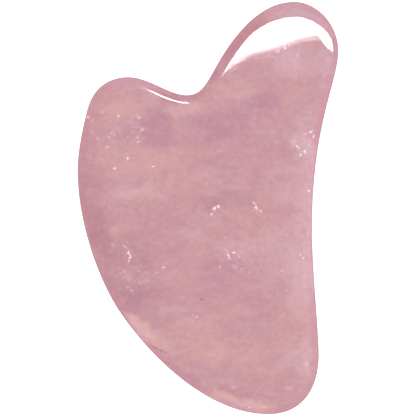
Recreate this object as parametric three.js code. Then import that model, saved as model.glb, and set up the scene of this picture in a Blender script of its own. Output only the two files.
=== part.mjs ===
// A gua sha scraper: one flat board of polished rose quartz for stroking the face and neck.
// Millimetres, +Z up. It lies on its lower face, with +Y toward the tall upper lobe.
// The origin is under the middle of its outline, on the surface that it rests on.
import * as THREE from "three";

// Driving dimensions.
const THICKNESS = 6;
const RIM_ROUNDING = 2.6; // how far in from the rim the edge is rounded, along most of the outline
const CREST_ROUNDING = 5.4; // the same at the crest of the upper lobe, which is ground softer
const THROAT_ROUNDING = 2; // the same in the throat between the shoulder and the lobe
const CREST = new THREE.Vector2(17, 35.9);
const CREST_REACH = 5; // how fast the crest's soft rounding fades into the ordinary rim
const THROAT = new THREE.Vector2(-5, 22.5);
const THROAT_REACH = 9.5; // how fast the throat's tight rounding fades into the ordinary rim

// How finely the surface is divided.
const STATIONS = 144; // around the outline
const EDGE_STEPS = 7; // from the rim up to a flat face

// The outline, counter-clockwise from the hollow side. Each knot gives a place, the heading of
// the outline there in degrees, and how far the curve's handles reach before and after it.
const OUTLINE = [
  { x: 20.2, y: -4.1, heading: 90, before: 7.5, after: 20.5 }, // hollow side, for the neck
  { x: 25.3, y: 30.5, heading: 90, before: 6, after: 5 }, // upper lobe, outermost
  { x: 16.7, y: 40, heading: 180, before: 4.5, after: 6.5 }, // upper lobe, top
  { x: 2, y: 28.2, heading: 240, before: 6.5, after: 4.5 }, // flank of the lobe
  { x: -4.1, y: 21.9, heading: 180, before: 3, after: 3.5 }, // throat, for the jaw
  { x: -15.5, y: 25.4, heading: 180, before: 4, after: 2 }, // shoulder, top
  { x: -23.3, y: 19.4, heading: 254, before: 5.5, after: 1 }, // shoulder, side
  { x: -25.3, y: 7.2, heading: 270, before: 5, after: 10 }, // full side, outermost
  { x: -17.2, y: -20, heading: 304, before: 7, after: 12 }, // full side, for the cheek
  { x: 11.7, y: -40, heading: 360, before: 11, after: 7 }, // foot
  { x: 21.5, y: -28.5, heading: 90, before: 6, after: 4.5 }, // heel
];

// A point a handle's length from a knot, forward along its heading or back from it.
function handle(knot, reach) {
  const angle = THREE.MathUtils.degToRad(knot.heading);
  return [knot.x + reach * Math.cos(angle), knot.y + reach * Math.sin(angle)];
}

function makeOutline() {
  const outline = new THREE.Shape();
  outline.moveTo(OUTLINE[0].x, OUTLINE[0].y);
  OUTLINE.forEach((from, index) => {
    const to = OUTLINE[(index + 1) % OUTLINE.length];
    outline.bezierCurveTo(...handle(from, from.after), ...handle(to, -to.before), to.x, to.y);
  });
  return outline;
}

// 1 at a place on the rim, falling smoothly to 0 away from it.
function nearness(point, place, reach) {
  return Math.exp(-point.distanceToSquared(place) / (2 * reach * reach));
}

function roundingAt(point) {
  const crest = (CREST_ROUNDING - RIM_ROUNDING) * nearness(point, CREST, CREST_REACH);
  const throat = (THROAT_ROUNDING - RIM_ROUNDING) * nearness(point, THROAT, THROAT_REACH);
  return RIM_ROUNDING + crest + throat;
}

// The rim's stations: where each lies, which way is inward, and how wide its rounding is.
function makeStations() {
  const points = makeOutline().getSpacedPoints(STATIONS).slice(0, STATIONS);
  return points.map((point, index) => {
    const ahead = points[(index + 1) % STATIONS];
    const behind = points[(index + STATIONS - 1) % STATIONS];
    const along = ahead.clone().sub(behind).normalize();
    return { point, inward: new THREE.Vector2(-along.y, along.x), rounding: roundingAt(point) };
  });
}

// Rings of vertices from the edge of the lower face, around the rim, to the edge of the upper
// face. Each station's section is half an ellipse, so the rim is full and has no flat land.
function makeRings(stations) {
  const rings = [];
  for (let step = -EDGE_STEPS; step <= EDGE_STEPS; step++) {
    const turn = ((Math.PI / 2) * step) / EDGE_STEPS;
    const height = (THICKNESS / 2) * (1 + Math.sin(turn));
    rings.push(
      stations.map(({ point, inward, rounding }) => {
        const place = point.clone().addScaledVector(inward, rounding * (1 - Math.cos(turn)));
        return new THREE.Vector3(place.x, place.y, height);
      }),
    );
  }
  return rings;
}

function makeBoardGeometry() {
  const rings = makeRings(makeStations());
  const positions = rings.flat().flatMap((vertex) => vertex.toArray());
  const faces = [];
  for (let ring = 0; ring + 1 < rings.length; ring++) {
    for (let station = 0; station < STATIONS; station++) {
      const next = (station + 1) % STATIONS;
      const [a, b] = [ring * STATIONS + station, ring * STATIONS + next];
      const [c, d] = [a + STATIONS, b + STATIONS];
      faces.push(a, b, d, a, d, c);
    }
  }
  const upper = (rings.length - 1) * STATIONS;
  for (const [i, j, k] of THREE.ShapeUtils.triangulateShape(rings.at(-1), [])) {
    faces.push(upper + i, upper + j, upper + k);
    faces.push(k, j, i);
  }
  const geometry = new THREE.BufferGeometry();
  geometry.setAttribute("position", new THREE.Float32BufferAttribute(positions, 3));
  geometry.setIndex(faces);
  geometry.computeVertexNormals();
  return geometry;
}

// Polished rose quartz: milky pink, glossy and not metallic.
const roseQuartz = new THREE.MeshStandardMaterial({ color: 0xce9da5, roughness: 0.12, metalness: 0 });

const scraperStone = new THREE.Mesh(makeBoardGeometry(), roseQuartz);
scraperStone.name = "scraper_stone";

const scraper = new THREE.Group();
scraper.add(scraperStone);

export default scraper;
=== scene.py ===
"""A gua sha scraper: one flat board of polished rose quartz, lying on a pale table."""
import math
import bpy
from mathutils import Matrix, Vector


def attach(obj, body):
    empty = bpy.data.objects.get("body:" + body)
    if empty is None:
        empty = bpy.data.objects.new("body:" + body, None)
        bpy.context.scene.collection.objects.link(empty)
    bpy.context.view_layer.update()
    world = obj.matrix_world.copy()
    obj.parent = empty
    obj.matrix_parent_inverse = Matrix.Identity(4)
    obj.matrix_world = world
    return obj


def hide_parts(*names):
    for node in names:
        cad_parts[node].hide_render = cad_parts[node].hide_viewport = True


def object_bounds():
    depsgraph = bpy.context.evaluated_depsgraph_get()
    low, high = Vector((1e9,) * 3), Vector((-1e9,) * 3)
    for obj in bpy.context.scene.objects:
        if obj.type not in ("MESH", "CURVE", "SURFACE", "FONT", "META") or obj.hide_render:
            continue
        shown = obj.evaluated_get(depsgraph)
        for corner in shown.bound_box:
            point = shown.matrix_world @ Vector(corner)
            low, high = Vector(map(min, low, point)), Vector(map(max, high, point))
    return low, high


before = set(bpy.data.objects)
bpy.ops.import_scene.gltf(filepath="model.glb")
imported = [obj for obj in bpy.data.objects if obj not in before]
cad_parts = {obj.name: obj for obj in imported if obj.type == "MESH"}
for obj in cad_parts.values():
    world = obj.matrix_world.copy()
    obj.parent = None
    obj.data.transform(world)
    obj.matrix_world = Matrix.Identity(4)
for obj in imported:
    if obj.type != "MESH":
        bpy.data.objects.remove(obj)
board_low, board_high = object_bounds()

MM = 0.001
THICKNESS = board_high.z - board_low.z

# How the rim is ground, in millimetres: how far in from the rim its rounding reaches.
RIM_ROUNDING = 2.6
CREST_ROUNDING = 5.4  # at the crest of the upper lobe
THROAT_ROUNDING = 2.0  # in the throat between the shoulder and the lobe
CREST = (17.0, 35.9)
CREST_REACH = 5.0
THROAT = (-5.0, 22.5)
THROAT_REACH = 9.5

# How finely the board's surface is divided.
STATIONS = 540  # around the outline
EDGE_STEPS = 20  # from the rim up to a flat face
SAME_PLACE = 1e-6  # metres: corners closer than this are one corner

# The outline, counter-clockwise from the hollow side: x and y in millimetres, the heading in
# degrees, and how far the curve's handles reach before and after the knot.
OUTLINE = [
    (20.2, -4.1, 90, 7.5, 20.5),  # hollow side, for the neck
    (25.3, 30.5, 90, 6, 5),  # upper lobe, outermost
    (16.7, 40, 180, 4.5, 6.5),  # upper lobe, top
    (2, 28.2, 240, 6.5, 4.5),  # flank of the lobe
    (-4.1, 21.9, 180, 3, 3.5),  # throat, for the jaw
    (-15.5, 25.4, 180, 4, 2),  # shoulder, top
    (-23.3, 19.4, 254, 5.5, 1),  # shoulder, side
    (-25.3, 7.2, 270, 5, 10),  # full side, outermost
    (-17.2, -20, 304, 7, 12),  # full side, for the cheek
    (11.7, -40, 360, 11, 7),  # foot
    (21.5, -28.5, 90, 6, 4.5),  # heel
]


# ---------------------------------------------------------------------------
# Small helpers for building node trees
# ---------------------------------------------------------------------------

def feed(tree, socket, value):
    """Gives a socket its value: a number, a colour, or the output that feeds it."""
    if isinstance(value, bpy.types.NodeSocket):
        tree.links.new(value, socket)
    else:
        socket.default_value = value


def put(tree, kind, inputs=None, **settings):
    """Adds a node, with its settings and the values of its inputs."""
    made = tree.nodes.new(kind)
    for name, value in settings.items():
        setattr(made, name, value)
    for name, value in (inputs or {}).items():
        feed(tree, made.inputs[name], value)
    return made


def calc(tree, operation, *values, clamp=False):
    """One step of arithmetic on numbers."""
    inputs = dict(enumerate(values))
    return put(tree, "ShaderNodeMath", inputs, operation=operation, use_clamp=clamp).outputs[0]


def aim(tree, operation, *values):
    """One step of arithmetic on places or directions."""
    made = put(tree, "ShaderNodeVectorMath", dict(enumerate(values)), operation=operation)
    return made.outputs["Value" if operation in ("LENGTH", "DISTANCE") else "Vector"]


def ramp(tree, value, start, end, low, high, style="LINEAR"):
    """Low up to the start, high from the end on, and a slope of the given style between."""
    return put(tree, "ShaderNodeMapRange", {
        "Value": value, "From Min": start, "From Max": end, "To Min": low, "To Max": high},
        interpolation_type=style).outputs[0]


def new_group(name, kind, inputs, outputs):
    """An empty node group with named sockets, given as (name, socket type, default)."""
    group = bpy.data.node_groups.new(name, kind)
    for title, socket_type, default in inputs:
        socket = group.interface.new_socket(title, in_out="INPUT", socket_type=socket_type)
        if default is not None:
            socket.default_value = default
    for title, socket_type in outputs:
        group.interface.new_socket(title, in_out="OUTPUT", socket_type=socket_type)
    return group


# ---------------------------------------------------------------------------
# The board's shape
# ---------------------------------------------------------------------------

def handle(x, y, heading, reach):
    """A point a handle's length from a knot, forward along its heading or back from it."""
    angle = math.radians(heading)
    return ((x + reach * math.cos(angle)) * MM, (y + reach * math.sin(angle)) * MM, 0)


def make_outline():
    """The board's outline as one closed curve, flat on the table."""
    curve = bpy.data.curves.new("board_outline", "CURVE")
    curve.dimensions = "3D"
    curve.resolution_u = 64
    spline = curve.splines.new("BEZIER")
    spline.bezier_points.add(len(OUTLINE) - 1)
    spline.use_cyclic_u = True
    for knot, (x, y, heading, before, after) in zip(spline.bezier_points, OUTLINE):
        knot.handle_left_type = knot.handle_right_type = "FREE"
        knot.co = (x * MM, y * MM, 0)
        knot.handle_left = handle(x, y, heading, -before)
        knot.handle_right = handle(x, y, heading, after)
    outline = bpy.data.objects.new("board_outline", curve)
    bpy.context.collection.objects.link(outline)
    return outline


def nearness(tree, spot, place, reach):
    """1 at a place on the rim, falling smoothly to 0 away from it."""
    away = aim(tree, "DISTANCE", spot, place)
    steps = calc(tree, "DIVIDE", away, reach)
    square = calc(tree, "MULTIPLY", steps, steps)
    return calc(tree, "EXPONENT", calc(tree, "MULTIPLY", square, -0.5))


def rounding_at(tree, given, spot):
    """How wide the rim's rounding is at a spot: softer at the crest, tighter in the throat."""
    rounding = given["Rim Rounding"]
    for name in ("Crest", "Throat"):
        change = calc(tree, "SUBTRACT", given[f"{name} Rounding"], given["Rim Rounding"])
        near = nearness(tree, spot, given[name], given[f"{name} Reach"])
        rounding = calc(tree, "MULTIPLY_ADD", change, near, rounding)
    return rounding


def here(tree):
    """The place of each corner of the mesh, as its separate x, y and z."""
    place = put(tree, "GeometryNodeInputPosition").outputs[0]
    return put(tree, "ShaderNodeSeparateXYZ", {0: place}).outputs


def with_inset(tree, geometry, inset):
    """Notes at each corner how far in from the rim it is, in millimetres, for the stone to read."""
    return put(tree, "GeometryNodeStoreNamedAttribute", {
        "Geometry": geometry, "Name": "rim_inset", "Value": inset},
        data_type="FLOAT", domain="POINT").outputs["Geometry"]


def merged(tree, geometry):
    """Joins corners that lie at the same place."""
    return put(tree, "GeometryNodeMergeByDistance", {
        "Geometry": geometry, "Distance": SAME_PLACE}).outputs["Geometry"]


def rounded_rim(tree, given):
    """A flat sheet bent into the rim: one way it runs around the outline, the other over the edge."""
    columns = calc(tree, "ADD", given["Stations"], 1)
    rows = calc(tree, "MULTIPLY_ADD", given["Edge Steps"], 2, 1)
    sheet = put(tree, "GeometryNodeMeshGrid", {
        "Size X": 1, "Size Y": 1, "Vertices X": columns, "Vertices Y": rows})
    flat = here(tree)
    around = calc(tree, "ADD", flat["X"], 0.5, clamp=True)
    over = calc(tree, "MULTIPLY", flat["Y"], math.pi)

    # The outline's place and inward direction at each station.
    station = put(tree, "GeometryNodeSampleCurve", {
        "Curves": given["Outline"], "Factor": around}, mode="FACTOR")
    spot = station.outputs["Position"]
    inward = aim(tree, "NORMALIZE", aim(tree, "CROSS_PRODUCT", (0, 0, 1), station.outputs["Tangent"]))

    # Half an ellipse over the rim, from the lower face to the upper one.
    rounding = rounding_at(tree, given, spot)
    inset = calc(tree, "MULTIPLY", rounding, calc(tree, "SUBTRACT", 1, calc(tree, "COSINE", over)))
    half = calc(tree, "MULTIPLY", given["Thickness"], 0.5)
    rise = calc(tree, "MULTIPLY", half, calc(tree, "ADD", calc(tree, "SINE", over), 1))
    shift = put(tree, "ShaderNodeVectorMath", {0: inward, "Scale": inset}, operation="SCALE").outputs[0]
    height = put(tree, "ShaderNodeCombineXYZ", {"Z": rise}).outputs[0]
    bent = put(tree, "GeometryNodeSetPosition", {
        "Geometry": with_inset(tree, sheet.outputs["Mesh"], calc(tree, "DIVIDE", inset, MM)),
        "Position": aim(tree, "ADD", aim(tree, "ADD", spot, shift), height)})
    return merged(tree, bent.outputs["Geometry"])


def flat_face(tree, ring):
    """Fills one ring with a flat face, on the table and facing up."""
    filled = put(tree, "GeometryNodeFillCurve", {"Curve": ring}, mode="NGONS").outputs["Mesh"]
    return with_inset(tree, filled, RIM_ROUNDING)


def flat_faces(tree, given, rim):
    """The upper and the lower face, where the rim's rounding ends."""
    neighbours = put(tree, "GeometryNodeInputMeshEdgeNeighbors").outputs[0]
    is_open = put(tree, "FunctionNodeCompare", {2: neighbours, 3: 1}, data_type="INT", operation="EQUAL")
    rings = put(tree, "GeometryNodeMeshToCurve", {"Mesh": rim, "Selection": is_open.outputs[0]})
    middle = calc(tree, "MULTIPLY", given["Thickness"], 0.5)
    is_upper = calc(tree, "GREATER_THAN", here(tree)["Z"], middle)
    split = put(tree, "GeometryNodeSeparateGeometry", {
        "Geometry": rings.outputs["Curve"], "Selection": is_upper}, domain="CURVE").outputs
    lift = put(tree, "ShaderNodeCombineXYZ", {"Z": given["Thickness"]}).outputs[0]
    upper = put(tree, "GeometryNodeSetPosition", {
        "Geometry": flat_face(tree, split["Selection"]), "Offset": lift}).outputs["Geometry"]
    lower = put(tree, "GeometryNodeFlipFaces", {
        "Mesh": flat_face(tree, split["Inverted"])}).outputs["Mesh"]
    return upper, lower


def grinding_tree():
    """Geometry nodes that grind an outline into a board with a full, rounded rim."""
    length = "NodeSocketFloat"
    tree = new_group("ground board", "GeometryNodeTree", [
        ("Outline", "NodeSocketGeometry", None),
        ("Thickness", length, THICKNESS),
        ("Rim Rounding", length, RIM_ROUNDING * MM),
        ("Crest Rounding", length, CREST_ROUNDING * MM),
        ("Throat Rounding", length, THROAT_ROUNDING * MM),
        ("Crest", "NodeSocketVector", (0, 0, 0)),
        ("Crest Reach", length, CREST_REACH * MM),
        ("Throat", "NodeSocketVector", (0, 0, 0)),
        ("Throat Reach", length, THROAT_REACH * MM),
        ("Stations", "NodeSocketInt", STATIONS),
        ("Edge Steps", "NodeSocketInt", EDGE_STEPS),
        ("Stone", "NodeSocketMaterial", None),
    ], [("Board", "NodeSocketGeometry")])
    tree.is_modifier = True
    given = tree.nodes.new("NodeGroupInput").outputs
    rim = rounded_rim(tree, given)
    joined = put(tree, "GeometryNodeJoinGeometry")
    for part in (*flat_faces(tree, given, rim), rim):
        tree.links.new(part, joined.inputs["Geometry"])
    smooth = put(tree, "GeometryNodeSetShadeSmooth", {
        "Geometry": merged(tree, joined.outputs["Geometry"]), "Shade Smooth": True})
    real = put(tree, "GeometryNodeRealizeInstances", {"Geometry": smooth.outputs["Geometry"]})
    done = put(tree, "GeometryNodeSetMaterial", {
        "Geometry": real.outputs["Geometry"], "Material": given["Stone"]})
    put(tree, "NodeGroupOutput", {"Board": done.outputs["Geometry"]})
    return tree


def make_board(stone):
    """The polished board, as one plain closed mesh."""
    outline = make_outline()
    grinding = outline.modifiers.new("grinding", "NODES")
    tree = grinding_tree()
    grinding.node_group = tree
    sockets = {item.name: item.identifier for item in tree.interface.items_tree if item.in_out == "INPUT"}
    for name, value in {
        "Thickness": THICKNESS,
        "Rim Rounding": RIM_ROUNDING * MM,
        "Crest Rounding": CREST_ROUNDING * MM,
        "Throat Rounding": THROAT_ROUNDING * MM,
        "Crest": [CREST[0] * MM, CREST[1] * MM, 0.0],
        "Crest Reach": CREST_REACH * MM,
        "Throat": [THROAT[0] * MM, THROAT[1] * MM, 0.0],
        "Throat Reach": THROAT_REACH * MM,
        "Stations": STATIONS,
        "Edge Steps": EDGE_STEPS,
        "Stone": stone,
    }.items():
        grinding[sockets[name]] = value
    ready = bpy.context.evaluated_depsgraph_get()
    mesh = bpy.data.meshes.new_from_object(outline.evaluated_get(ready), depsgraph=ready)
    bpy.data.objects.remove(outline)
    mesh.name = "polished_board"
    board = bpy.data.objects.new("polished_board", mesh)
    bpy.context.collection.objects.link(board)
    return board


# ---------------------------------------------------------------------------
# Rose quartz
# ---------------------------------------------------------------------------

def srgb(red, green, blue):
    """A colour as it looks on a chart, 0 to 255, turned into the linear values that shaders use."""
    levels = [value / 255 for value in (red, green, blue)]
    return tuple(v / 12.92 if v <= 0.04045 else ((v + 0.055) / 1.055) ** 2.4 for v in levels) + (1.0,)


ROSE = srgb(212, 160, 168)  # the stone's own pink
LILAC_AND_SHEEN = srgb(212, 172, 185)  # a colder, paler veil near the tips; on the shoulder, a painted faint reflection
MAUVE = srgb(197, 143, 162)  # where it is clearer and colder
PEACH = srgb(224, 174, 172)  # where it is milkier and warmer
SMOKE_AND_SHADE = srgb(187, 133, 142)  # darker, smoky depths; along the left side and lower left, painted shade
CRACK = srgb(163, 105, 117)  # thin dark cracks
MILK_AND_LIGHT = srgb(232, 195, 205)  # pale, cool veils; along the right side and beside the notch, painted light
GLOW = srgb(242, 198, 194)  # a painted glow, where light comes through near the edge
DEEP_PINK_AND_SHADE = srgb(185, 119, 136)  # the deeper pink of the rim's last part, painted darker as shade
BLUSH = srgb(240, 192, 203)  # the dimmer, pinker parts of healed cracks
FLECK = srgb(255, 233, 232)  # their bright faces

# Soft clouds in the stone, and painted light and shade, in millimetres: x, y, half length,
# half width, turn in degrees, colour, and strength.
CLOUDS = [
    (-17, 18.6, 6, 4, 10, PEACH, 0.9),
    (-12, 9.3, 9, 4, 5, PEACH, 0.6),
    (-8, 5.5, 6, 2.5, 0, PEACH, 0.5),
    (-13.2, 3.1, 7, 2, -5, MILK_AND_LIGHT, 0.4),
    (-4.5, 18.6, 5.5, 2.2, 5, PEACH, 0.6),
    (-5, 19.2, 5, 2.2, 5, MILK_AND_LIGHT, 0.35),
    (-9.3, 15, 4.5, 4.5, 0, MAUVE, 0.7),
    (3, 15.5, 9, 4, 10, MAUVE, 0.65),
    (11, 20.4, 6, 3.5, -10, MAUVE, 0.75),
    (4, 8.5, 5.5, 4, 30, MAUVE, 0.3),
    (3, 1.5, 7, 3.0, 0, SMOKE_AND_SHADE, 0.45),
    (-5.4, -1.5, 9, 3, 0, SMOKE_AND_SHADE, 0.18),
    (5.4, -8, 4.5, 4.5, 0, MILK_AND_LIGHT, 0.18),
    (14, -8, 5.5, 4, -20, MILK_AND_LIGHT, 0.4),
    (0, -13.2, 4, 4, 0, MAUVE, 0.35),
    (9.5, -19.5, 5.5, 3, -45, MAUVE, 0.35),
    (-13.2, -9.3, 6, 4.5, 0, MAUVE, 0.45),
    (-14.7, -17.9, 4.5, 3, -60, MAUVE, 0.9),
    # painted shade along the left side
    (-22.8, -3, 9, 2.5, 100, SMOKE_AND_SHADE, 0.4),
    (-2, -23.5, 11, 3, 5, PEACH, 0.6),
    (1.5, -27.5, 6.5, 3.2, 0, PEACH, 1.0),
    (9.3, -27.2, 5, 3, 0, PEACH, 0.5),
    (15.6, -29.5, 5, 3, -20, MILK_AND_LIGHT, 0.35),
    (17.1, 27.2, 7, 3.5, 15, MILK_AND_LIGHT, 0.45),
    (3.9, 10, 5, 3.5, 0, PEACH, 0.3),
    (13.2, 5.4, 5, 4, 0, MILK_AND_LIGHT, 0.2),
    (17.5, -3.9, 3.5, 4, 0, MILK_AND_LIGHT, 0.22),
    (13.2, -13.2, 4, 3, 0, MILK_AND_LIGHT, 0.2),
    (6.2, 23.3, 5, 3.5, 30, PEACH, 0.35),
    # painted light: the right side lighter than the rest
    (18.6, 3, 18, 4.4, 91, MILK_AND_LIGHT, 0.4),
    (18.6, 12.6, 3.6, 4.2, 0, MILK_AND_LIGHT, 0.7),
    (18.8, 18.0, 3.4, 5, 0, LILAC_AND_SHEEN, 0.5),
    (18.4, -13, 9, 4.2, 88, MILK_AND_LIGHT, 0.62),
    (19, -28, 7, 3, 88, MILK_AND_LIGHT, 0.3),
    # painted shade along the rim of the lobe's flank and the throat
    (5.7, 33, 8, 2.8, 52, DEEP_PINK_AND_SHADE, 0.6),
    (0, 26, 5, 2.6, 55, DEEP_PINK_AND_SHADE, 0.55),
    (-5, 21.5, 6, 2.2, 0, DEEP_PINK_AND_SHADE, 0.5),
    # painted faint reflection on the shoulder
    (-14.5, 24.2, 8, 2.8, 0, LILAC_AND_SHEEN, 0.45),
    (18.5, 37, 7.5, 4, -15, LILAC_AND_SHEEN, 1.0),
    (23.2, 28, 9, 3.8, 82, LILAC_AND_SHEEN, 0.8),
    (15, 28.7, 6, 3, 5, MILK_AND_LIGHT, 0.3),
    # painted shade: the left side and lower left darker than the rest
    (-23.5, 5, 13, 4, 92, SMOKE_AND_SHADE, 0.35),
    (-18.5, -14, 13, 4.2, -60, SMOKE_AND_SHADE, 0.5),
    (-14, -8, 8, 6, 0, SMOKE_AND_SHADE, 0.2),
    (-11.5, -15.8, 6, 4, -20, SMOKE_AND_SHADE, 0.3),
    (-20.5, -4, 5, 3.2, 95, SMOKE_AND_SHADE, 0.65),
    # painted glow beside the bright line in the notch
    (-11.8, 22.8, 3.4, 1.1, -22, MILK_AND_LIGHT, 0.4),
    (-4, -33, 8, 2.0, -33, SMOKE_AND_SHADE, 0.25),
    # painted glow near the edge at the cheek and the foot
    (-13.4, -23.2, 4.2, 1.9, -50, GLOW, 1.0),
    (-9.3, -25.4, 5, 2.2, -20, GLOW, 0.35),
    (3.5, -36.6, 6, 1.8, -22, GLOW, 0.6),
    (8.5, -38.2, 6.5, 1.4, -6, GLOW, 0.6),
    (8.5, -22.5, 4.5, 3, 0, MAUVE, 0.4),
    (7.5, -36, 5, 2, -8, DEEP_PINK_AND_SHADE, 0.15),
    (22.6, 28.6, 3.5, 2.5, 80, MILK_AND_LIGHT, 0.25),
    (11.8, -36.4, 2.6, 0.5, -8, SMOKE_AND_SHADE, 0.6),
    (-10.2, -26.9, 1.0, 0.25, -15, CRACK, 1.0),
    (-9.0, -27.5, 0.6, 0.25, -35, CRACK, 0.9),
    (-8.1, -27.7, 0.5, 0.2, 0, CRACK, 0.6),
    (-1.1, -17.6, 0.55, 0.4, 30, CRACK, 0.9),
]

# Healed cracks that catch the light, stroke by stroke, in millimetres: x, y, half length,
# half width, turn in degrees, and brightness.
FLECKS = [
    (1.2, -0.1, 0.45, 0.32, 30, 1.0),  # the pair in the middle
    (2.0, 0.3, 0.4, 0.3, 40, 0.95),
    (0.7, -1.1, 0.5, 0.2, 60, 0.55),
    (2.9, -0.6, 0.3, 0.2, 45, 0.35),
    (8.9, 0.9, 0.55, 0.17, -60, 0.7),
    (9.3, 0.0, 0.5, 0.23, -55, 0.95),
    (10.2, -0.6, 0.4, 0.2, -35, 0.8),
    (-15.2, -8.7, 0.6, 0.24, -62, 1.0),  # the curl by the cheek
    (-15.0, -9.5, 0.5, 0.2, -95, 0.9),
    (-15.2, -10.2, 0.35, 0.2, 60, 0.6),
    (-16.0, -7.4, 0.7, 0.25, -45, 0.4),
    (-18.4, -7.0, 0.35, 0.2, -70, 0.4),
    (-8.6, -11.4, 0.45, 0.2, 40, 0.7),
    (-9.8, -12.4, 0.6, 0.2, 15, 0.4),
    (-16.1, -12.2, 0.3, 0.22, 0, 0.4),
    (-15.3, -15.2, 0.3, 0.2, 0, 0.4),
    (-14.7, -15.9, 0.4, 0.2, 20, 0.4),
    (17.8, -9.1, 0.45, 0.2, -40, 0.65),  # beside the hollow edge
    (18.4, -9.6, 0.35, 0.22, 20, 0.95),
    (19.7, 14.6, 0.5, 0.2, 35, 0.8),
    (20.3, 13.8, 0.45, 0.22, 90, 0.85),
    (17.2, 11.7, 0.5, 0.23, -40, 0.95),
    (18.6, 10.8, 0.4, 0.2, -45, 0.9),
    (17.8, 10.2, 0.45, 0.2, 25, 0.75),
    (18.7, 14.2, 0.4, 0.2, -30, 0.45),
    (16.6, 12.8, 0.45, 0.3, 0, 0.4),
    (19.7, 18.4, 0.35, 0.25, 0, 0.35),
    (19.4, 3.3, 0.3, 0.22, 0, 0.8),
    (3.4, -5.7, 0.35, 0.25, 0, 0.4),  # the spray below the middle
    (3.5, -8.2, 0.5, 0.18, -30, 0.5),
    (4.0, -9.3, 0.8, 0.2, -65, 0.75),
    (4.9, -8.6, 0.4, 0.22, 15, 0.75),
    (6.0, -9.3, 0.35, 0.22, -20, 0.6),
    (2.4, -11.3, 0.3, 0.22, 30, 0.6),
    (6.4, -11.7, 0.4, 0.2, -70, 0.4),
    (7.9, -12.4, 0.35, 0.18, 60, 0.45),
    (14.2, -12.0, 0.4, 0.2, 20, 0.5),
    (15.1, -15.9, 0.4, 0.22, -20, 0.35),
    (-2.2, -20.9, 0.3, 0.2, -40, 0.8),
    (-2.9, -20.6, 0.3, 0.15, -10, 0.4),
    (-23.2, 17.5, 0.35, 0.26, 0, 0.85),  # dots on the shoulder
    (-17.2, 17.7, 0.35, 0.23, 10, 0.8),
    (-22.4, 16.7, 0.6, 0.17, 55, 0.45),
    (-20.5, 18.4, 0.7, 0.2, 35, 0.35),
    (-13.3, 17.4, 0.5, 0.42, 0, 0.4),
    (-12.6, 15.1, 0.6, 0.3, 45, 0.4),
    (-13.6, 13.5, 0.45, 0.22, 0, 0.55),
    (-13.4, 12.7, 0.45, 0.2, 0, 0.45),
    (-19.0, 13.6, 0.3, 0.22, 90, 0.45),
    (-21.3, 13.4, 0.33, 0.27, 0, 0.4),
    (-19.3, 11.7, 0.45, 0.2, 15, 0.45),
    (-15.5, 9.5, 0.27, 0.25, 0, 0.85),
    (-17.9, 7.6, 0.35, 0.22, 80, 0.9),
    (-10.6, 8.0, 0.35, 0.23, 15, 0.85),
    (18.9, -30.0, 0.8, 0.6, 20, 0.4),  # towards the foot
    (15.6, -34.6, 1.0, 0.5, 10, 0.25),
    (6.2, -37.9, 0.3, 0.16, 0, 0.6),
    (8.0, -38.4, 0.45, 0.16, -8, 0.7),
    (10.8, -38.3, 0.5, 0.18, 0, 0.55),
    (4.9, -34.4, 0.6, 0.3, 0, 0.3),
    (14.6, 31.4, 0.35, 0.22, 70, 0.7),  # under the crest
    (14.8, 30.7, 0.35, 0.22, -40, 0.65),
    (17.3, 29.3, 0.45, 0.3, 30, 0.45),
    (11.5, 30.6, 0.5, 0.22, 20, 0.4),
    (16.9, 26.4, 2.4, 0.12, 95, 0.2),  # faint threads
    (17.6, 4.6, 1.6, 0.14, 62, 0.15),
]

# Where the stone is sown with dim specks: x, y, half length, half width, turn, and brightness.
SPECKLED = [
    (-17.5, 13.0, 7.0, 6.0, 0, 0.4),
    (-13.4, 14.8, 2.6, 2.2, 75, 0.9),
    (-15.0, -13.0, 4.5, 4.5, 0, 0.6),
    (8.5, -10.5, 9.0, 4.5, -25, 0.4),
    (4.8, -9.2, 3.2, 1.8, -30, 0.6),
    (18.2, 12.6, 3.4, 3.2, 30, 0.9),
    (17.5, -27.0, 3.5, 5.0, 0, 0.4),
    (14.5, 30.2, 5.0, 2.0, 15, 0.8),
    (1.8, 0.1, 1.9, 1.2, 30, 0.7),
    (9.4, 0.3, 1.6, 1.2, -50, 0.6),
    (-15.4, -9.0, 2.2, 1.4, -60, 0.7),
    (-2.0, -34.0, 7.0, 2.5, -30, 0.35),
]


def soft_spot_group():
    """1 in the middle of a turned oval, falling smoothly to 0 at its edge. Millimetres."""
    group = new_group("soft spot", "ShaderNodeTree", [
        ("Position", "NodeSocketVector", None),
        ("Place", "NodeSocketVector", (0, 0, 0)),
        ("Half Length", "NodeSocketFloat", 1.0),
        ("Half Width", "NodeSocketFloat", 1.0),
        ("Turn", "NodeSocketFloat", 0.0),
    ], [("Mask", "NodeSocketFloat")])
    given = group.nodes.new("NodeGroupInput").outputs
    offset = aim(group, "MULTIPLY", aim(group, "SUBTRACT", given["Position"], given["Place"]), (1, 1, 0))
    turned = put(group, "ShaderNodeVectorRotate", {
        "Vector": offset, "Axis": (0, 0, 1), "Angle": calc(group, "MULTIPLY", given["Turn"], -1)},
        rotation_type="AXIS_ANGLE").outputs[0]
    halves = put(group, "ShaderNodeCombineXYZ", {
        "X": given["Half Length"], "Y": given["Half Width"], "Z": 1}).outputs[0]
    away = aim(group, "LENGTH", aim(group, "DIVIDE", turned, halves))
    fade = ramp(group, away, start=0.0, end=1.0, low=1.0, high=0.0, style="SMOOTHERSTEP")
    put(group, "NodeGroupOutput", {"Mask": fade})
    return group


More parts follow.
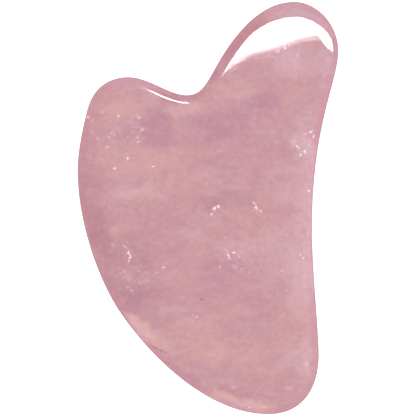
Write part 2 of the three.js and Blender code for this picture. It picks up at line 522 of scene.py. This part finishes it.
def mottle_group():
    """Even-tempered mottling from -1 to 1, drawn out along the stone's banding. Millimetres."""
    group = new_group("mottle", "ShaderNodeTree", [
        ("Position", "NodeSocketVector", None),
        ("Patch Size", "NodeSocketFloat", 10.0),
        ("Drawn Out", "NodeSocketFloat", 2.0),
        ("Turn", "NodeSocketFloat", 0.0),
        ("Layer", "NodeSocketFloat", 0.0),
    ], [("Value", "NodeSocketFloat")])
    given = group.nodes.new("NodeGroupInput").outputs
    turned = put(group, "ShaderNodeVectorRotate", {
        "Vector": given["Position"], "Axis": (0, 0, 1), "Angle": given["Turn"]},
        rotation_type="AXIS_ANGLE").outputs[0]
    stretch = put(group, "ShaderNodeCombineXYZ", {"X": given["Drawn Out"], "Y": 1, "Z": 1}).outputs[0]
    drawn = aim(group, "DIVIDE", turned, stretch)
    layer = put(group, "ShaderNodeCombineXYZ", {"Z": given["Layer"]}).outputs[0]
    noise = put(group, "ShaderNodeTexNoise", {
        "Vector": aim(group, "ADD", drawn, layer),
        "Scale": calc(group, "DIVIDE", 1, given["Patch Size"]),
        "Detail": 4.0, "Roughness": 0.55, "Distortion": 0.6}, noise_dimensions="3D")
    value = ramp(group, noise.outputs[0], start=0.3, end=0.7, low=-1.0, high=1.0)
    put(group, "NodeGroupOutput", {"Value": value})
    return group


SOFT_SPOT = soft_spot_group()
MOTTLE = mottle_group()


def oval(tree, position, place, half_length, half_width, turn=0):
    """A soft oval mask around a place, its length lying at a turn in degrees."""
    return put(tree, "ShaderNodeGroup", {
        "Position": position, "Place": (*place, 0), "Half Length": half_length,
        "Half Width": half_width, "Turn": math.radians(turn)}, node_tree=SOFT_SPOT).outputs[0]


def mottled(tree, position, patch_size, drawn_out, turn, layer):
    """Mottling whose patches are drawn out along a turn in degrees. Each layer has its own pattern."""
    return put(tree, "ShaderNodeGroup", {
        "Position": position, "Patch Size": patch_size, "Drawn Out": drawn_out,
        "Turn": math.radians(turn), "Layer": layer}, node_tree=MOTTLE).outputs[0]


def blend_in(tree, colour, tint, share):
    """Mixes a tint into a colour."""
    made = put(tree, "ShaderNodeMix", data_type="RGBA", blend_type="MIX", clamp_factor=True)
    inputs = {socket.identifier: socket for socket in made.inputs}
    outputs = {socket.identifier: socket for socket in made.outputs}
    feed(tree, inputs["Factor_Float"], share)
    feed(tree, inputs["A_Color"], colour)
    feed(tree, inputs["B_Color"], tint)
    return outputs["Result_Color"]


def tinted(tree, colour, tint, mask, strength):
    """Tints a colour where a mask is high, or where it is below 0 if the strength is negative."""
    return blend_in(tree, colour, tint, calc(tree, "MULTIPLY", mask, strength, clamp=True))


def wandering(tree, position, fineness, detail, unevenness, reach):
    """The same position, led astray by noise, so that nothing drawn there has a ruled border."""
    noise = put(tree, "ShaderNodeTexNoise", {
        "Vector": position, "Scale": fineness, "Detail": detail, "Roughness": unevenness})
    centred = aim(tree, "SUBTRACT", noise.outputs["Color"], (0.5, 0.5, 0.5))
    return aim(tree, "ADD", position, aim(tree, "MULTIPLY", centred, reach))


# A soft spot has all but faded before its edge, so each kind is drawn this much over its size.
CLOUD_SPREAD = 1.25
SOWN_SPREAD = 1.3
FLECK_LENGTH_SPREAD = 1.5
FLECK_WIDTH_SPREAD = 1.6
SMALL_CLOUD = 1.0  # clouds no wider than this keep close to their place


def cloudy_body(tree, position, clouded, cracked):
    """Pink, with colder and warmer bands and the clouds, among them painted light and shade."""
    cold = mottled(tree, position, patch_size=9.0, drawn_out=2.2, turn=12, layer=3)
    warm = mottled(tree, position, patch_size=7.0, drawn_out=2.6, turn=-8, layer=17)
    colour = tinted(tree, ROSE, MAUVE, cold, 0.36)
    colour = tinted(tree, colour, PEACH, warm, 0.42)
    for x, y, half_length, half_width, turn, tint, strength in CLOUDS:
        mask = oval(tree, clouded if half_width > SMALL_CLOUD else cracked, (x, y),
                    half_length * CLOUD_SPREAD, half_width * CLOUD_SPREAD, turn)
        colour = tinted(tree, colour, tint, mask, strength)
    return colour


def fine_milkiness(tree, colour, cracked):
    """Thin drawn-out wisps, mauve and peach shading, and a close grain."""
    wisp = mottled(tree, cracked, patch_size=2.4, drawn_out=2.4, turn=5, layer=31)
    colour = tinted(tree, colour, MILK_AND_LIGHT, wisp, 0.24)
    shade = mottled(tree, cracked, patch_size=3.2, drawn_out=1.8, turn=-6, layer=37)
    colour = tinted(tree, colour, MAUVE, shade, 0.34)
    colour = tinted(tree, colour, PEACH, shade, -0.22)
    grain = mottled(tree, cracked, patch_size=0.8, drawn_out=1.2, turn=0, layer=47)
    colour = tinted(tree, colour, SMOKE_AND_SHADE, grain, 0.2)
    return tinted(tree, colour, MILK_AND_LIGHT, grain, -0.18)


def sown_thickness(tree, clouded):
    """How thickly the stone is sown with specks, from 0 to 1."""
    sown = 0.0
    for x, y, half_length, half_width, turn, brightness in SPECKLED:
        mask = oval(tree, clouded, (x, y), half_length * SOWN_SPREAD, half_width * SOWN_SPREAD, turn)
        sown = calc(tree, "MAXIMUM", calc(tree, "MULTIPLY", mask, brightness), sown)
    return sown


def milky_veil(tree, colour, cracked, sown):
    """The milky veil that goes with the specks."""
    puffs = mottled(tree, cracked, patch_size=1.1, drawn_out=1.2, turn=-20, layer=71)
    veil = calc(tree, "MULTIPLY_ADD", puffs, 0.5, 0.15)
    return tinted(tree, colour, MILK_AND_LIGHT, veil, sown)


def healed_cracks(tree, cracked, crinkled, sown):
    """How brightly specks and the strokes of healed cracks are lit, from 0 to 1."""
    chips = mottled(tree, cracked, patch_size=0.75, drawn_out=1.3, turn=30, layer=61)
    specks = ramp(tree, chips, start=0.35, end=1.0, low=0.0, high=0.9, style="SMOOTHSTEP")
    bright = calc(tree, "MULTIPLY", specks, sown)
    for x, y, half_length, half_width, turn, brightness in FLECKS:
        mask = oval(tree, crinkled, (x, y), half_length * FLECK_LENGTH_SPREAD,
                    half_width * FLECK_WIDTH_SPREAD, turn)
        bright = calc(tree, "MAXIMUM", calc(tree, "MULTIPLY", mask, brightness), bright)
    return ramp(tree, bright, start=0.0, end=0.6, low=0.0, high=1.0)


# How far in from the rim its painted shade of deeper pink goes, in millimetres.
LAST_STRETCH = 0.6
DEEPER_STRETCH = 2.2
HOLLOW_SIDE = (21.5, -2.0)


def deeper_and_shaded_rim(tree, colour, position):
    """The rounded rim is painted a deeper, darker pink as shade, most of all at the last.

    Along the hollow side there is little of this painted shade.
    """
    inset = put(tree, "ShaderNodeAttribute", attribute_name="rim_inset").outputs["Fac"]
    last = ramp(tree, inset, start=0.0, end=LAST_STRETCH, low=0.45, high=0.0, style="SMOOTHSTEP")
    rim = ramp(tree, inset, start=LAST_STRETCH, end=DEEPER_STRETCH, low=0.33, high=0.0,
               style="SMOOTHSTEP")
    hollow = oval(tree, position, HOLLOW_SIDE, half_length=27.0, half_width=8.0, turn=90)
    rim_shade_share = calc(tree, "MULTIPLY_ADD", hollow, -0.9, 1.0)
    return blend_in(tree, colour, DEEP_PINK_AND_SHADE, calc(tree, "MULTIPLY_ADD", rim, rim_shade_share, last))


# How hand polishing leaves the surface, in millimetres.
WAVE_DEPTH = 0.1
DIP = (1.5, 31.5)  # the upper face falls away a little here, towards the flank of the lobe
DIP_REACH = 8.0
DIP_DEPTH = 0.1
PIT_DEPTH = 0.004
PIT_STRENGTH = 0.6


def bumped(tree, height, depth, under=None, strength=1.0):
    """The surface's direction with a relief on it, its depth in metres, over another relief or none."""
    made = put(tree, "ShaderNodeBump", {"Strength": strength, "Distance": depth, "Height": height})
    if under:
        tree.links.new(under, made.inputs["Normal"])
    return made.outputs[0]


def hand_polish(tree, position):
    """A slow wave, a shallow dip, and pits too small to see one by one."""
    wave = put(tree, "ShaderNodeTexNoise", {
        "Vector": position, "Scale": 0.07, "Detail": 1.0, "Roughness": 0.4}).outputs[0]
    waved = bumped(tree, wave, WAVE_DEPTH * MM)
    dip = oval(tree, position, DIP, DIP_REACH, DIP_REACH)
    dipped = bumped(tree, calc(tree, "MULTIPLY", dip, -DIP_DEPTH), MM, waved)
    pits = mottled(tree, position, patch_size=0.5, drawn_out=1.0, turn=0, layer=83)
    return bumped(tree, pits, PIT_DEPTH * MM, dipped, PIT_STRENGTH)


def polish_roughness(tree, position, lit):
    """Nearly a mirror, hazier in patches and where a crack comes up."""
    haze = mottled(tree, position, patch_size=4.0, drawn_out=1.5, turn=40, layer=97)
    gloss = ramp(tree, haze, start=-1.0, end=1.0, low=0.025, high=0.055)
    return calc(tree, "ADD", gloss, calc(tree, "MULTIPLY", lit, 0.08))


QUARTZ_IOR = 1.544
MILKINESS = 0.35  # the share of light that goes into the stone before it comes back
LIGHT_REACH = 2 * MM  # how far that light spreads, as red; green and blue go about half as far
LIGHT_REACH_BY_COLOUR = (1.0, 0.55, 0.5)


def rose_quartz():
    """Milky pink stone with soft clouds, small bright flecks, and painted light and shade: a rim painted
    deeper and darker, glows, and a darker left and lighter right side.
    """
    stone = bpy.data.materials.new("rose quartz")
    stone.use_nodes = True
    tree = stone.node_tree
    tree.nodes.clear()

    coordinates = put(tree, "ShaderNodeTexCoord").outputs["Object"]
    scaled = put(tree, "ShaderNodeVectorMath", {0: coordinates, "Scale": 1 / MM}, operation="SCALE")
    position = scaled.outputs[0]
    clouded = wandering(tree, position, fineness=0.16, detail=3.0, unevenness=0.6, reach=(9, 6, 0))
    cracked = wandering(tree, position, fineness=1.1, detail=3.0, unevenness=0.6, reach=(1.4, 1.4, 0))
    crinkled = wandering(tree, position, fineness=1.6, detail=2.0, unevenness=0.5, reach=(0.9, 0.9, 0))

    colour = cloudy_body(tree, position, clouded, cracked)
    colour = fine_milkiness(tree, colour, cracked)
    sown = sown_thickness(tree, clouded)
    colour = milky_veil(tree, colour, cracked, sown)
    lit = healed_cracks(tree, cracked, crinkled, sown)
    glint = blend_in(tree, BLUSH, FLECK, calc(tree, "MULTIPLY", lit, lit))
    colour = blend_in(tree, colour, glint, lit)
    colour = deeper_and_shaded_rim(tree, colour, position)

    shader = put(tree, "ShaderNodeBsdfPrincipled", {
        "Base Color": colour, "Roughness": polish_roughness(tree, position, lit),
        "Normal": hand_polish(tree, position), "IOR": QUARTZ_IOR, "Subsurface Weight": MILKINESS,
        "Subsurface Radius": LIGHT_REACH_BY_COLOUR, "Subsurface Scale": LIGHT_REACH})
    put(tree, "ShaderNodeOutputMaterial", {"Surface": shader.outputs[0]})
    return stone


# ---------------------------------------------------------------------------
# Table, light and camera
# ---------------------------------------------------------------------------

CAMERA_HEIGHT = 300 * MM  # above the rim's widest line
FIELD = 80.72 * MM  # what the view spans at the rim
SENSOR = 36.0

# The table top from its flat middle out to its lip: radius and rise, in metres.
TABLE_PROFILE = ((2.6, 0.0), (2.8, 0.05), (2.92, 0.16), (2.98, 0.32), (3.0, 0.5))
TABLE_SIDES = 96
TABLE_GLOW = 0.75


def staged_mesh(name, spots, faces, material):
    """A piece of the surroundings, which the gloss doesn't mirror."""
    mesh = bpy.data.meshes.new(name)
    mesh.from_pydata(spots, [], faces)
    mesh.materials.append(material)
    piece = bpy.data.objects.new(name, mesh)
    bpy.context.collection.objects.link(piece)
    piece.visible_glossy = False


def pale_table_finish():
    """Matt white with a glow of its own, so that no shadow shows."""
    white = bpy.data.materials.new("pale table")
    white.use_nodes = True
    shader = white.node_tree.nodes["Principled BSDF"]
    shader.inputs["Base Color"].default_value = (0.9, 0.9, 0.9, 1)
    shader.inputs["Roughness"].default_value = 0.9
    shader.inputs["Specular IOR Level"].default_value = 0.0
    shader.inputs["Emission Color"].default_value = (1, 1, 1, 1)
    shader.inputs["Emission Strength"].default_value = TABLE_GLOW
    return white


def make_table():
    """A plain pale table top that rises to a low lip a long way off, and stays even and bright."""
    white = pale_table_finish()
    angles = [2 * math.pi * side / TABLE_SIDES for side in range(TABLE_SIDES)]
    rings = [[(radius * math.cos(angle), radius * math.sin(angle), rise) for angle in angles]
             for radius, rise in TABLE_PROFILE]
    staged_mesh("table_top", rings[0], [tuple(range(TABLE_SIDES))], white)
    lip_faces = []
    for row in range(len(rings) - 1):
        inner = row * TABLE_SIDES
        outer = inner + TABLE_SIDES
        for side in range(TABLE_SIDES):
            after = (side + 1) % TABLE_SIDES
            lip_faces.append((inner + side, inner + after, outer + after, outer + side))
    staged_mesh("table_lip", [spot for ring in rings for spot in ring], lip_faces, white)


def area_light(name, width, depth, radiance, centre, turn):
    """A rectangular light facing straight down. Radiance is how bright its face looks, white being 1."""
    light = bpy.data.lights.new(name, "AREA")
    light.shape = "RECTANGLE"
    light.size = width
    light.size_y = depth
    light.energy = radiance * math.pi * width * depth
    lamp = bpy.data.objects.new(name, light)
    lamp.location = centre
    lamp.rotation_euler = (0, 0, math.radians(turn))
    bpy.context.collection.objects.link(lamp)
    lamp.visible_camera = False
    return lamp


# Two low strip lights, side by side like one long bent lamp, draw the bright crescent. In
# millimetres: near corner x and y, length, width, and turn in degrees.
STRIPS = [
    (-2.7, 33.1, 165, 19.9, 11.5),
    (22, 38.1, 150, 19, 2),
]
STRIP_HEIGHT = 41.9 * MM + THICKNESS / 2
STRIP_RADIANCE = 40.0

# The big soft light straight above, in metres.
SOFT_LIGHT_SIZE = 0.45
SOFT_LIGHT_RADIANCE = 2.1
SOFT_LIGHT_PLACE = (0.05, 0.02, 0.5)


def make_lights():
    """The low strips for the bright crescent, and a big soft light straight above for the rest."""
    for number, (x, y, strip_length, strip_width, strip_turn) in enumerate(STRIPS, 1):
        turn = math.radians(strip_turn)
        along = Vector((math.cos(turn), math.sin(turn), 0))
        across = Vector((-math.sin(turn), math.cos(turn), 0))
        middle = along * strip_length / 2 + across * strip_width / 2
        centre = Vector((x * MM, y * MM, STRIP_HEIGHT)) + middle * MM
        strip = area_light(f"strip_{number}", strip_length * MM, strip_width * MM, STRIP_RADIANCE,
                           centre, strip_turn)
        strip.visible_diffuse = False
        strip.visible_transmission = False
    soft = area_light("soft_light", SOFT_LIGHT_SIZE, SOFT_LIGHT_SIZE, SOFT_LIGHT_RADIANCE,
                      SOFT_LIGHT_PLACE, 0)
    soft.visible_glossy = False


ROOM_BRIGHTNESS = 0.5


def make_surroundings():
    """Even light from all around."""
    world = bpy.data.worlds.new("pale room")
    world.use_nodes = True
    sky = world.node_tree.nodes["Background"]
    sky.inputs["Color"].default_value = (1, 1, 1, 1)
    sky.inputs["Strength"].default_value = ROOM_BRIGHTNESS
    bpy.context.scene.world = world


def make_camera():
    """Straight above the board, square to it."""
    camera = bpy.data.cameras.new("overhead")
    camera.sensor_width = SENSOR
    camera.lens = SENSOR * CAMERA_HEIGHT / FIELD
    camera.clip_start = 10 * MM
    camera.clip_end = 10
    holder = bpy.data.objects.new("overhead", camera)
    holder.location = (0, 0, CAMERA_HEIGHT + THICKNESS / 2)
    bpy.context.collection.objects.link(holder)
    bpy.context.scene.camera = holder
    bpy.context.scene.view_settings.view_transform = "Standard"


board = make_board(rose_quartz())
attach(board, "root")
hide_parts("scraper_stone")
make_table()
make_lights()
make_surroundings()
make_camera()
